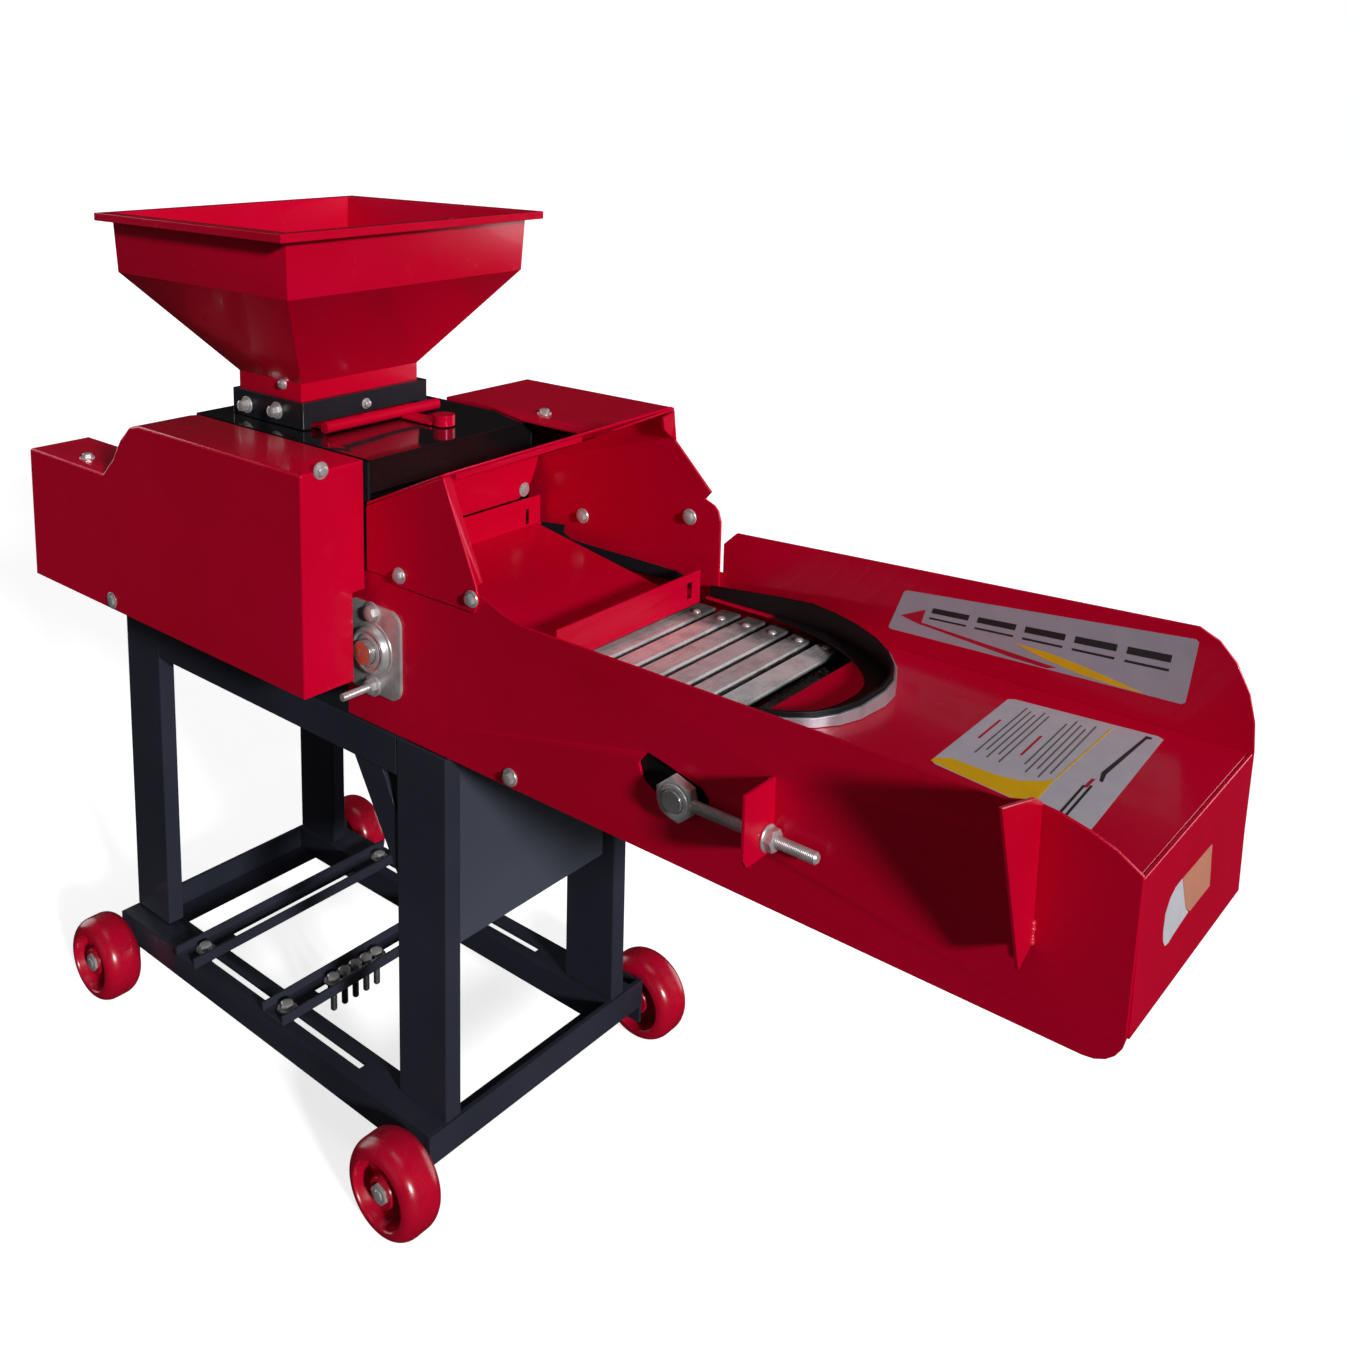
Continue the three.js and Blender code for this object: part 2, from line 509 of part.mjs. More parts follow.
add('idler', union(
  rodY(IDLER.x, IDLER.z, 19.7, 124, 144.5, 24), rodY(IDLER.x, IDLER.z, 59.2, 144, 158, 48),
  rodY(IDLER.x, IDLER.z, 9.5, 90.5, 162, 20),
), IRON);

// ---- gear cover: open-backed red box with a flange lying over the housing top
add('gear_cover', cut(
  union(
    box(66, 290, 97, 237, 490, 753),
    prismXY([[66.2, 120], [140, 96], [207, 74], [284, 74], [284, 120]], 752.3, 755.1),
    box(66, 290, 97, 237, 752, 755.3),
  ),
  box(68, 288, 90, 235, 492, 751),
  box(60, 286, 60, 96.5, 745, 753.3),
), RED);

// ---- belt guard: red box open underneath and at the back, stepped at its rear end
const guard = [[-311, 531], [202, 531], [202, 753], [-72, 753], [-91.5, 749], [-111, 731],
  [-127, 707], [-149, 686], [-311, 686]];
const guardIn = [[-309, 520], [200, 520], [200, 751], [-72, 751], [-90, 747], [-109, 729.5],
  [-125.5, 705.5], [-148, 684], [-309, 684]];
add('belt_guard', cut(
  prismXZ(guard, -227, yn - 4), prismXZ(guardIn, -225, yn + 5),
  box(190, 210, -165.6, -140, 520, 622),
), RED);

add('guard_bolt', rodY(-140, 541, 6.3, -231, -227 - GAP, 6), STEEL);

// ---- discharge chute: deflector plate on the +X side, cheeks and sloping back
const CHUTE = [-122, 106];
const chuteCheek = [[152, 475.2], [302, 475.2], [302, 272], [235, 272], [235, 357.5]];
add('discharge_chute', union(
  box(300, 303, ...CHUTE, 270, 479.5),
  prismXZ([[154, 475.2], [236, 358], [236, 272], [233, 272], [233, 357], [151, 475.2]], ...CHUTE),
  prismXZ(chuteCheek, CHUTE[0], CHUTE[0] + SHEET), prismXZ(chuteCheek, CHUTE[1] - SHEET, CHUTE[1]),
), BLACK);

// ---- hopper seat, slide gate and its pull on the housing top
add('hopper_collar', cut(
  box(-54, 69, -117, 63, BODY.top + GAP, 782),
  box(-48.6, 61.2, -112.4, 56.2, 750, 790),
  box(55, 80, -106, 50, 750, 758.6),
), BLACK);
add('slide_gate', union(
  box(-47.6, 98, -103, 47, 754, 756.2),
  rodY(98, 760.2, 6.2, -112, 50, 16),
), RED);
add('gate_pull', union(
  prismXY([[104.6, -10], [150, -10], [150, 14], [104.6, 12]], 754, 757),
  rodZ(159, 2, 12, 754, 766, 20),
), RED);

// ---- grain hopper: out-turned lip, straight band, pyramid and square neck
const lip = [-164, 164, -214, 154];
const bandTop = [-153, 151, -198, 138];
const band = [-151, 148, -195, 135];
const neck = [-48, 60.6, -111.8, 55.6];
const T = 2.2;
add('hopper', cut(
  union(
    frustum(lip, 965.5, lip, 974), frustum(band, 908, bandTop, 966),
    frustum(neck, 801, band, 908.5), frustum(neck, 760, neck, 801.5),
  ),
  frustum(inset(band, T), 908, inset(bandTop, T), 975),
  frustum(inset(neck, T), 801, inset(band, T), 908.5),
  frustum(inset(neck, T), 750, inset(neck, T), 801.5),
), RED);

// the origin is on the floor, under the middle of the whole machine
const extent = new THREE.Box3().setFromObject(machine);
const middle = extent.getCenter(new THREE.Vector3());
machine.position.set(-middle.x, -middle.y, -extent.min.z);

export default machine;
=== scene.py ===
"""Looks of the mobile chaff cutter and grain grinder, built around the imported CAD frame.

Lengths are in millimetres in the design's own coordinates (x along the trough from the frame's
middle, y across, z up from the floor); P() turns them into the frame's metres.
"""
import json
import math
import random

import bmesh
import bpy
from mathutils import Matrix, Vector


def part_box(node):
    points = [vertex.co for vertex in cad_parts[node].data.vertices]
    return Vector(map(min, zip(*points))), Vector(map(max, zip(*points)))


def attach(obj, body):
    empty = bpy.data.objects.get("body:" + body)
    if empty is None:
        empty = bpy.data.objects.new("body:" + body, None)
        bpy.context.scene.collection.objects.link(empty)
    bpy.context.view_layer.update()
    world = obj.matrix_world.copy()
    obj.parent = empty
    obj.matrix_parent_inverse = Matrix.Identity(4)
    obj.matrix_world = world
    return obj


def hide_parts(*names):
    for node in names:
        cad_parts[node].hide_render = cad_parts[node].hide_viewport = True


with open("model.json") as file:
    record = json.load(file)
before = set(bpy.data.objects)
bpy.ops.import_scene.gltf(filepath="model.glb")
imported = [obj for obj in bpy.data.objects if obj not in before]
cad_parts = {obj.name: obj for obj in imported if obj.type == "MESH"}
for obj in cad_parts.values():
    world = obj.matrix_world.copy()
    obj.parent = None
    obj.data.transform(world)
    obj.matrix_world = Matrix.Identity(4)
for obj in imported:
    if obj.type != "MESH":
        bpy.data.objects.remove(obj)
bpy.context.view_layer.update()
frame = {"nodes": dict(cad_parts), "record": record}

MM = 0.001
TROUGH_END = 938                        # x of the tail cap's outer face
FAR_PLATE = 90                          # y of the far trough plate's inner face
DATUM = Vector((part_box("end_cap")[1].x - TROUGH_END * MM,
                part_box("side_plate_far")[0].y - FAR_PLATE * MM, 0.0))
NEAR_FACE = -146                        # y of the near trough plate's outer face
DRIVE_X, DRIVE_Z = 212, 562             # centre of the conveyor drive shaft
TAIL_X, TAIL_Z = 586, 545               # centre of the tail shaft, with the chain tight
SLAT_TOP = (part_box("slat_chain")[1].z - DATUM.z) / MM - 0.4    # z of the slats near the tail
SLAT_FALL = 0.0267                      # how fast the top run falls towards the drive shaft
FLANGE = 3.2                            # thickness of a bearing unit's pressed flange
WEB_TOP = 95.3                          # top of the motor bars' slotted webs
SHEET = 3                               # thickness of the trough's plates
X, Y, Z = Vector((1, 0, 0)), Vector((0, 1, 0)), Vector((0, 0, 1))
random.seed(7)


def P(x, y, z):
    """A point of the design, in the frame's metres."""
    return DATUM + Vector((x, y, z)) * MM


# ------------------------------------------------------------------ materials
DUST = (0.5, 0.42, 0.4)
# dark colour mixed in where the slats carry painted shade and their darker far ends
PAINTED_DARK = (0.012, 0.010, 0.010)
PINK = (1.0, 0.18, 0.36)                # tint of the gloss on the red paint
EVEN = (1, 1, 1)                        # no stretch of the tool marks


class Graph:
    """A small helper that builds a node material around its Principled shader."""

    def __init__(self, name):
        self.mat = bpy.data.materials.new(name)
        self.mat.use_nodes = True
        self.tree = self.mat.node_tree
        self.shader = self.tree.nodes["Principled BSDF"]
        self.place = self.node("ShaderNodeTexCoord").outputs["Object"]

    def node(self, kind, inputs=None, **settings):
        made = self.tree.nodes.new(kind)
        for key, value in settings.items():
            setattr(made, key, value)
        for key, value in (inputs or {}).items():
            self.put(made.inputs[key], value)
        return made

    def put(self, socket, value):
        if isinstance(value, bpy.types.NodeSocket):
            self.tree.links.new(value, socket)
        else:
            socket.default_value = value

    def set(self, **sockets):
        for key, value in sockets.items():
            self.put(self.shader.inputs[key.replace("_", " ")], value)

    def noise(self, scale, detail=4.0, rough=0.55, stretch=None):
        place = self.place
        if stretch:
            place = self.node("ShaderNodeMapping", {"Vector": place, "Scale": stretch}).outputs[0]
        return self.node("ShaderNodeTexNoise", {"Vector": place, "Scale": scale, "Detail": detail,
                                                "Roughness": rough}).outputs["Fac"]

    def ramp(self, fac, low, high, first=0.0, last=1.0):
        """Maps fac from low..high to first..last, held at both ends."""
        return self.node("ShaderNodeMapRange", {"Value": fac, "From Min": low, "From Max": high,
                                                "To Min": first, "To Max": last}).outputs[0]

    def mix(self, fac, a, b):
        made = self.node("ShaderNodeMix", {"Factor": fac}, data_type="RGBA")
        self.put(made.inputs[6], a)
        self.put(made.inputs[7], b)
        return made.outputs[2]

    def math(self, kind, a, b):
        made = self.node("ShaderNodeMath", operation=kind)
        self.put(made.inputs[0], a)
        self.put(made.inputs[1], b)
        return made.outputs[0]

    def bump(self, height, strength, distance, under=None):
        made = self.node("ShaderNodeBump", {"Height": height, "Strength": strength,
                                            "Distance": distance})
        if under is not None:
            self.put(made.inputs["Normal"], under)
        return made.outputs[0]


def powder_coat(name, base, deep, roughness, coat=0.0, specular=0.25, glint=(1, 1, 1)):
    """Sprayed paint: orange peel, slow colour drift, a little dust, and gloss tinted by glint."""
    g = Graph(name)
    drift = g.ramp(g.noise(5, 2), 0.35, 0.7)
    dust = g.ramp(g.noise(700, 2, 0.7), 0.6, 0.8, 0, 0.03)
    g.set(Base_Color=g.mix(dust, g.mix(drift, (*base, 1), (*deep, 1)), (*DUST, 1)))
    g.set(Roughness=g.ramp(g.noise(30, 3), 0.3, 0.7, roughness - 0.03, roughness + 0.04))
    peel = g.bump(g.noise(260, 2, 0.5), 0.07, 0.0005)
    g.set(Normal=g.bump(g.noise(11, 2, 0.5), 0.22, 0.0012, peel))
    g.set(Coat_Weight=coat, Coat_Roughness=0.05, Specular_IOR_Level=specular)
    g.set(Specular_Tint=(*glint, 1))
    return g.mat


def design(g):
    """The point being shaded, as x, y and z in the design's millimetres."""
    at = g.node("ShaderNodeSeparateXYZ", {"Vector": g.place}).outputs
    return [g.math("MULTIPLY", g.math("SUBTRACT", at[i], DATUM[i]), 1 / MM) for i in range(3)]


def slat_shade_and_dark_ends(g):
    """Where the slats are darkened: painted shade below their top run, and darker towards their far
    ends.
    """
    x, y, z = design(g)
    run = g.math("MINIMUM", g.math("MULTIPLY", g.math("SUBTRACT", x, TAIL_X), SLAT_FALL), 0.0)
    # painted shade: everything more than 4 mm below the slats' top run is darkened
    depth = g.math("SUBTRACT", g.math("ADD", run, SLAT_TOP), z)
    # darker towards the slats' far ends, with a ragged edge
    far = g.math("ADD", y, g.math("MULTIPLY", g.noise(60, 4), 50.0))
    far_dark = g.math("MULTIPLY", g.ramp(far, 52, 86), 0.8)
    return g.math("MAXIMUM", g.ramp(depth, 4.0, 7.0), far_dark)


def plated(name, base, roughness, stretch, streak, metallic, grain=0.12, shade_mask=None):
    """Plated or machined metal: directional tool marks, slight staining and, if given, a mask of
    painted shade and darkening mixed in.
    """
    g = Graph(name)
    stain = g.ramp(g.noise(45, 5, 0.65), 0.45, 0.75)
    color = g.mix(stain, (*base, 1), (*[c * 0.62 for c in base], 1))
    # mixes in painted shade from the given mask
    if shade_mask:
        color = g.mix(shade_mask(g), color, (*PAINTED_DARK, 1))
    g.set(Base_Color=color, Metallic=metallic)
    marks = g.noise(420, 3, 0.6, stretch)
    g.set(Roughness=g.ramp(marks, 0.3, 0.7, roughness - streak, roughness + streak))
    g.set(Normal=g.bump(marks, grain, 0.0003))
    return g.mat


def moulded(name, base, roughness):
    """Moulded plastic: fine spark-erosion texture and small colour drift."""
    g = Graph(name)
    drift = g.ramp(g.noise(25, 3), 0.35, 0.7)
    g.set(Base_Color=g.mix(drift, (*base, 1), (*[c * 0.8 for c in base], 1)))
    g.set(Roughness=g.ramp(g.noise(80, 3), 0.3, 0.7, roughness - 0.05, roughness + 0.08))
    g.set(Normal=g.bump(g.noise(1500, 2, 0.5), 0.12, 0.0002), Subsurface_Weight=0.03)
    return g.mat


def printed(name, base, roughness=0.4):
    """Vinyl sticker film with a slight ripple."""
    g = Graph(name)
    drift = g.ramp(g.noise(60, 2), 0.3, 0.7)
    g.set(Base_Color=g.mix(drift, (*base, 1), (*[c * 0.92 for c in base], 1)), Roughness=roughness)
    g.set(Normal=g.bump(g.noise(120, 2), 0.1, 0.0003))
    return g.mat


RED = powder_coat("red_powder_coat", (0.60, 0.0004, 0.028), (0.55, 0.0003, 0.019), 0.24, 0.15,
                  0.5, PINK)
RUBBER = powder_coat("rim_rubber", (0.006, 0.006, 0.007), (0.004, 0.004, 0.005), 0.45, 0.0)
BLACK = powder_coat("black_enamel", (0.018, 0.019, 0.026), (0.013, 0.014, 0.019), 0.28, 0.2)
CHUTE_BLACK = powder_coat("chute_enamel", (0.060, 0.066, 0.088), (0.042, 0.047, 0.063), 0.34, 0.1)
GLOSS_BLACK = powder_coat("gloss_top_black", (0.010, 0.008, 0.009), (0.007, 0.006, 0.007), 0.08,
                          0.5, 0.6)
FRAME_PAINT = powder_coat("frame_enamel", (0.030, 0.032, 0.048), (0.020, 0.022, 0.034), 0.34, 0.1)
ZINC = plated("zinc_plate", (0.62, 0.60, 0.60), 0.32, EVEN, 0.03, 0.55, 0.03)
STEEL = plated("turned_steel", (0.60, 0.59, 0.59), 0.28, (1, 16, 1), 0.08, 0.8)
# the slats' steel carries painted shade below its top run and is darker towards its far ends
SLAT_STEEL = plated("slat_steel", (0.92, 0.91, 0.93), 0.30, (1, 0.05, 1), 0.08, 0.4, 0.04,
                    slat_shade_and_dark_ends)
BAND_STEEL = plated("band_steel", (0.50, 0.51, 0.56), 0.34, (1, 1, 8), 0.06, 0.6)
IRON = plated("cast_iron", (0.10, 0.10, 0.105), 0.55, EVEN, 0.08, 0.85)
BRASS = plated("brass_bush", (0.60, 0.38, 0.18), 0.30, EVEN, 0.06, 0.7)
WHEEL_RED = moulded("wheel_plastic", (0.50, 0.002, 0.024), 0.24)
WELD = powder_coat("painted_weld", (0.66, 0.03, 0.06), (0.55, 0.01, 0.03), 0.25, 0.3)
STICKER_SILVER = printed("sticker_silver", (0.40, 0.37, 0.44), 0.32)
STICKER_PALE = printed("sticker_pale", (0.54, 0.51, 0.58), 0.34)
STICKER_WHITE = printed("sticker_white", (0.62, 0.62, 0.68))
STICKER_RED = printed("sticker_red", (0.50, 0.005, 0.03))
STICKER_YELLOW = printed("sticker_yellow", (0.85, 0.48, 0.0))
STICKER_GREY = printed("sticker_grey", (0.13, 0.12, 0.12))
STICKER_DARK = printed("sticker_dark", (0.02, 0.02, 0.022))
STICKER_PEACH = printed("sticker_peach", (0.62, 0.26, 0.17))

BODY_OF = {n: b for b, ns in frame["record"]["behaviour"]["bodies"].items() for n in ns}


# ------------------------------------------------------------------ piece helpers
def piece(name, bm, look, body="frame", replaces=(), smooth=40):
    """Turns a bmesh in the frame's metres into a finished piece that rides on a body."""
    mesh = bpy.data.meshes.new(name)
    bmesh.ops.recalc_face_normals(bm, faces=bm.faces)
    bm.to_mesh(mesh)
    bm.free()
    for face in mesh.polygons:
        face.use_smooth = True
    mesh.set_sharp_from_angle(angle=math.radians(smooth))
    made = bpy.data.objects.new(name, mesh)
    bpy.context.scene.collection.objects.link(made)
    mesh.materials.append(look)
    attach(made, body)
    if replaces:
        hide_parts(*replaces)
    return made


def bake(obj):
    """Applies every modifier of obj to its mesh."""
    graph = bpy.context.evaluated_depsgraph_get()
    graph.update()
    mesh = bpy.data.meshes.new_from_object(obj.evaluated_get(graph))
    obj.modifiers.clear()
    obj.data = mesh


def refine(node, look, fold, edge, fold_from):
    """Copies a CAD node and rounds it: wide folds by `fold` mm, sheet edges by `edge` mm."""
    merge, flat, sharp = 2e-6, math.radians(0.6), math.radians(24)
    bm = bmesh.new()
    bm.from_mesh(frame["nodes"][node].data)
    bmesh.ops.remove_doubles(bm, verts=bm.verts, dist=merge)
    bmesh.ops.dissolve_limit(bm, angle_limit=flat, verts=bm.verts, edges=bm.edges)
    weight = bm.edges.layers.float.new("bevel_weight_edge")
    span = {f: 2 * f.calc_area() / max(f.calc_perimeter(), 1e-9) for f in bm.faces}
    for e in bm.edges:
        if len(e.link_faces) != 2 or e.calc_face_angle(0) < sharp:
            continue
        wide = min(span[f] for f in e.link_faces) > fold_from * MM
        e[weight] = 1.0 if wide and e.is_convex else edge / fold
    made = piece(node + "_skin", bm, look, BODY_OF[node], (node,))
    cut = made.modifiers.new("round", "BEVEL")
    cut.limit_method = "WEIGHT"
    cut.width = fold * MM
    cut.segments = 3
    cut.use_clamp_overlap = True
    cut.harden_normals = True
    cut.miter_outer = "MITER_ARC"
    bake(made)
    made.data.materials.clear()
    made.data.materials.append(look)


def basis(axis, turn=0.0):
    """Rotation that takes +Z to axis, then turns about it."""
    return axis.to_track_quat("Z", "Y").to_matrix().to_4x4() @ Matrix.Rotation(turn, 4, "Z")


def add_rings(bm, rings, matrix, closed=True):
    """Skins a list of rings, each a list of points, and caps both ends."""
    made = [[bm.verts.new(matrix @ Vector(p)) for p in ring] for ring in rings]
    n = len(made[0])
    for low, high in zip(made, made[1:]):
        for i in range(n):
            j = (i + 1) % n
            bm.faces.new((low[i], low[j], high[j], high[i]))
    if closed:
        bm.faces.new(made[0][::-1])
        bm.faces.new(made[-1])


def lathe(bm, centre, axis, profile, n=32, loop=False):
    """Turns a profile of (radius, height) pairs in mm about an axis through centre."""
    matrix = Matrix.Translation(centre) @ basis(axis)
    angles = [2 * math.pi * i / n for i in range(n)]
    rings = [[(r * MM * math.cos(t), r * MM * math.sin(t), h * MM) for t in angles]
             for r, h in profile]
    if not loop:
        add_rings(bm, rings, matrix)
        return
    add_rings(bm, rings + [rings[0]], matrix, closed=False)
    bmesh.ops.remove_doubles(bm, verts=bm.verts, dist=1e-7)


def hexagon(bm, centre, axis, across, height, turn=0.0, dome=0.6):
    """A hexagon head or nut with a chamfered crown."""
    half = across / 2
    crown = half * 0.94

    def radius(t):
        return half / math.cos((t + math.pi / 6) % (math.pi / 3) - math.pi / 6)

    angles = [2 * math.pi * i / 36 for i in range(36)]

    def ring(size, rise):
        return [(size(t) * MM * math.cos(t), size(t) * MM * math.sin(t), rise(t) * MM)
                for t in angles]

    slope = math.tan(math.radians(30))
    add_rings(bm, [
        ring(radius, lambda t: 0),
        ring(radius, lambda t: height - (radius(t) - crown) * slope),
        ring(lambda t: crown, lambda t: height),
        ring(lambda t: crown * 0.55, lambda t: height + dome * 0.7),
        ring(lambda t: crown * 0.1, lambda t: height + dome),
    ], Matrix.Translation(centre) @ basis(axis, turn))


def washer(bm, centre, axis, outer, thick):
    """A flat washer of radius `outer` with a rounded rim."""
    hole = outer * 0.2
    lathe(bm, centre, axis, [(hole, 0), (outer, 0), (outer, thick * 0.6), (outer * 0.95, thick),
                             (hole, thick)])


def bolt(bm, centre, axis, across=13, height=5.3, pad=1.6, turn=None):
    """A hexagon bolt head standing on a washer, at a random turn."""
    turn = random.uniform(0, math.pi / 3) if turn is None else turn
    if pad:
        washer(bm, centre, axis, across * 0.86, pad)
    hexagon(bm, centre + axis * pad * MM, axis, across, height, turn)


def bolts(name, spots, across, height, pad=1.6):
    """One piece of several bolts on the frame, each given as its seat and direction."""
    bm = bmesh.new()
    for centre, axis in spots:
        bolt(bm, centre, axis, across, height, pad)
    piece(name, bm, ZINC, smooth=28)


def thread(bm, start, axis, radius, length):
    """A rod with rolled thread ridges."""
    pitch = 1.5
    core, root = radius * 0.7, radius * 0.93
    profile = [(core, 0)]
    for i in range(int(length / pitch)):
        z = i * pitch
        profile += [(root, z + 0.1 * pitch), (radius, z + 0.4 * pitch),
                    (radius, z + 0.65 * pitch), (root, z + 0.95 * pitch)]
    profile.append((core, length))
    lathe(bm, start, axis, profile, 20)


def weld(bm, a, b, radius):
    """A hand-laid bead from a to b in the frame: overlapping, slightly uneven drops."""
    step, unrest = 2.2, 0.35
    run = b - a
    count = max(2, int(run.length / (step * MM)))
    for i in range(count + 1):
        wobble = Vector([random.uniform(-unrest, unrest) for _ in range(3)]) * MM
        size = radius * random.uniform(0.82, 1.12) * MM
        place = Matrix.Translation(a + run * (i / count) + wobble)
        bmesh.ops.create_icosphere(bm, subdivisions=2, radius=size, matrix=place)


def decal(name, look, corners, outlines, out, level=1):
    """Flat printed shapes on a surface: outlines in 0..1 across and 0..1 along four corners.

    Level 1 is the film itself and level 2 is the print on top of it.
    """
    film, gap = 0.12, 0.02
    a, b, c, d = corners
    low = (gap if level == 1 else film) * MM
    high = film * level * MM
    bm = bmesh.new()
    for outline in outlines:
        flat = [a * (1 - u) * (1 - v) + b * u * (1 - v) + c * u * v + d * (1 - u) * v
                for u, v in outline]
        add_rings(bm, [[p + out * low for p in flat], [p + out * high for p in flat]],
                  Matrix.Identity(4))
    piece(name, bm, look)


def bar(u0, v0, u1, v1):
    """A plain rectangle of a decal."""
    return [(u0, v0), (u1, v0), (u1, v1), (u0, v1)]


def clipped(u, v):
    """The whole of a decal with its corners taken off."""
    return [(u, 0), (1 - u, 0), (1, v), (1, 1 - v), (1 - u, 1), (u, 1), (0, 1 - v), (0, v)]


# ------------------------------------------------------------------ sheet metal and frame skins
def skins(look, fold, edge, *nodes, fold_from=7.0):
    """Gives each node a rounded skin; faces narrower than fold_from mm count as sheet edges."""
    for node in nodes:
        refine(node, look, fold, edge, fold_from)


skins(RED, 3.0, 0.6, "belt_guard", "gear_cover")
skins(RED, 2.0, 0.8, "side_plate_near", "side_plate_far", "tray", "end_cap", "tail_gusset_near",
      "hood_cheek_near", "hood_cheek_far", "hood_roof", "feed_plate", "gate_pull")
skins(RED, 3.0, 0.6, "hopper", fold_from=5.0)
skins(RED, 1.2, 0.6, "slide_gate")
skins(BLACK, 1.6, 0.7, "housing_wall_near", "housing_wall_far", "housing_rear", "hopper_collar")
skins(RUBBER, 1.2, 0.7, "slat_rim_liner")
skins(CHUTE_BLACK, 1.6, 0.7, "discharge_chute")
skins(GLOSS_BLACK, 1.2, 0.6, "housing_top")
skins(FRAME_PAINT, 2.4, 0.8, "base_frame", "leg_rear_near", "leg_rear_far", "leg_front_near",
      "leg_front_far", "upper_rail_near", "upper_rail_far", "motor_bar_rear", "motor_bar_front")
skins(BAND_STEEL, 0.8, 0.5, "slat_rim_outer")
skins(IRON, 1.0, 0.5, "liner_upper", "screen", "liner_rear", "rotor_drum", "rotor_pulley",
      "upper_roller", "idler")
skins(STEEL, 0.8, 0.5, "rotor_shaft", "knife_1", "knife_2", "knife_3", "drive_shaft",
      "tail_shaft", "takeup_eye_far")
skins(SLAT_STEEL, 1.4, 0.7, "slat_chain")


def slat_rivets():
    """Rivets that hold the slats of the top run to the two chain strands."""
    count, first_x, pitch = 6, 593, 28.6
    near_strand, far_strand = -107, 61
    head = [(1, -0.5), (4.2, -0.3), (4.2, 0.5), (3.4, 1.5), (1.8, 2.1), (0.3, 2.3)]
    bm = bmesh.new()
    for i in range(count):
        x = first_x - pitch * i
        z = SLAT_TOP - SLAT_FALL * max(0, TAIL_X - x)
        for y in (near_strand, far_strand):
            lathe(bm, P(x, y, z), Z, head, 20)
    piece("slat_rivets", bm, ZINC, BODY_OF["slat_chain"], smooth=50)


def rim_dark_band():
    """A flat black half-oval band on the tray inside the rim, widest at the rim's round end, that
    makes the tray's border dark there.
    """
    steps = 64
    middle_x, middle_y, half_long, half_wide = 530, -27, 168, 112
    near_power = 0.71                   # makes the near half of the oval squarer than the far one
    narrow, widening = 12.5, 15
    tray_top = (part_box("tray")[1].z - DATUM.z) / MM
    outer_side = [(5.8, 0.1), (5.8, 1.3), (6.6, 1.8)]    # inset and height of the section's points
    inner_side = [(0.6, 1.8), (0.0, 1.3), (0.0, 0.1)]
    bm = bmesh.new()
    rows = []
    for point in outer_side + inner_side:
        inset, height = point
        row = []
        for i in range(steps + 1):
            t = math.radians(-90 + 180 * i / steps)
            power = near_power if t < 0 else 1
            if point in inner_side:
                reach = narrow + widening * math.cos(t) - inset
            else:
                reach = inset
            sweep = abs(math.cos(t)) ** power
            side = math.copysign(abs(math.sin(t)) ** power, t)
            row.append(bm.verts.new(P(middle_x + (half_long - reach) * sweep,
                                      middle_y + (half_wide - reach) * side, tray_top + height)))
        rows.append(row)
    for low, high in zip(rows, rows[1:] + rows[:1]):
        for i in range(steps):
            bm.faces.new((low[i], low[i + 1], high[i + 1], high[i]))
    bm.faces.new([row[0] for row in rows])
    bm.faces.new([row[-1] for row in reversed(rows)])
    piece("rim_dark_band", bm, RUBBER)


def plain_steel():
    """Gives every CAD node that has no skin yet a plain steel look."""
    for node in frame["nodes"].values():
        if not node.hide_render:
            node.data.materials.clear()
            node.data.materials.append(STEEL)


slat_rivets()
rim_dark_band()
plain_steel()


# ------------------------------------------------------------------ wheels
def wheel(node):
    """A moulded wheel with rounded shoulders, a dished web and a hub, turned about Y."""
    low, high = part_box(node)
    centre = (low + high) / 2
    half = (high.y - low.y) / 2 / MM
    radius = (high.z - low.z) / 2 / MM
    round_in, round_across = 15, 17     # size of the tread's rounded shoulders
    web_from, web_to, pocket_depth = 18, 31, 5.5
    section = [(6.6, 5 - half), (15, 5 - half), (16, 6 - half), (17, 12 - half), (19, 14 - half),
               (30, 14 - half), (32, 12 - half), (33.5, 3 - half), (34, 1 - half)]
    for i in range(11):
        a = math.radians(-90 + 90 * i / 10)
        section.append((radius - round_in + round_in * math.cos(a),
                        -half + round_across + round_across * math.sin(a)))
    section += [(r, -depth) for r, depth in reversed(section)]
    angles = [2 * math.pi * i / 90 for i in range(90)]
    rings = []
    for r, depth in section + [section[0]]:
        ring = []
        for t in angles:
            pocket = max(0.0, math.cos(3 * t + 0.5)) ** 0.6 if web_from < r < web_to else 0.0
            dished = depth - math.copysign(pocket_depth * pocket, depth)
            ring.append((r * MM * math.cos(t), r * MM * math.sin(t), dished * MM))
        rings.append(ring)
    bm = bmesh.new()
    add_rings(bm, rings, Matrix.Translation(centre) @ basis(Y), closed=False)
    bmesh.ops.remove_doubles(bm, verts=bm.verts, dist=1e-7)
    piece(node + "_skin", bm, WHEEL_RED, BODY_OF[node], (node,), smooth=45)
    return centre


def axle_bolt(node, centre, out):
    """An axle bolt through a wheel's centre: rod, washer, outer nut and inner nut."""
    low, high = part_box(node)
    rod = (high.y - low.y) / MM
    tip = Vector((centre.x, low.y if out < 0 else high.y, centre.z))
    axis = Y * out
    bm = bmesh.new()
    lathe(bm, tip, -axis,
          [(1, 0), (4.6, 0.2), (5.6, 1.2), (6, 2), (6, rod - 2), (5, rod), (1, rod)])
    washer(bm, tip - axis * 8.4 * MM, axis, 13.5, 1.8)
    hexagon(bm, tip - axis * 6.8 * MM, axis, 19, 5.4, 0.3, 0.2)
    hexagon(bm, tip - axis * (rod - 13) * MM, -axis, 19, 5.8, 0.1, 0.2)
    piece(node + "_skin", bm, ZINC, "frame", (node,), smooth=28)


for place in ("rear_near", "rear_far", "front_near", "front_far"):
    hub = wheel(f"wheel_{place}")
    axle_bolt(f"axle_bolt_{place}", hub, -1 if place.endswith("near") else 1)


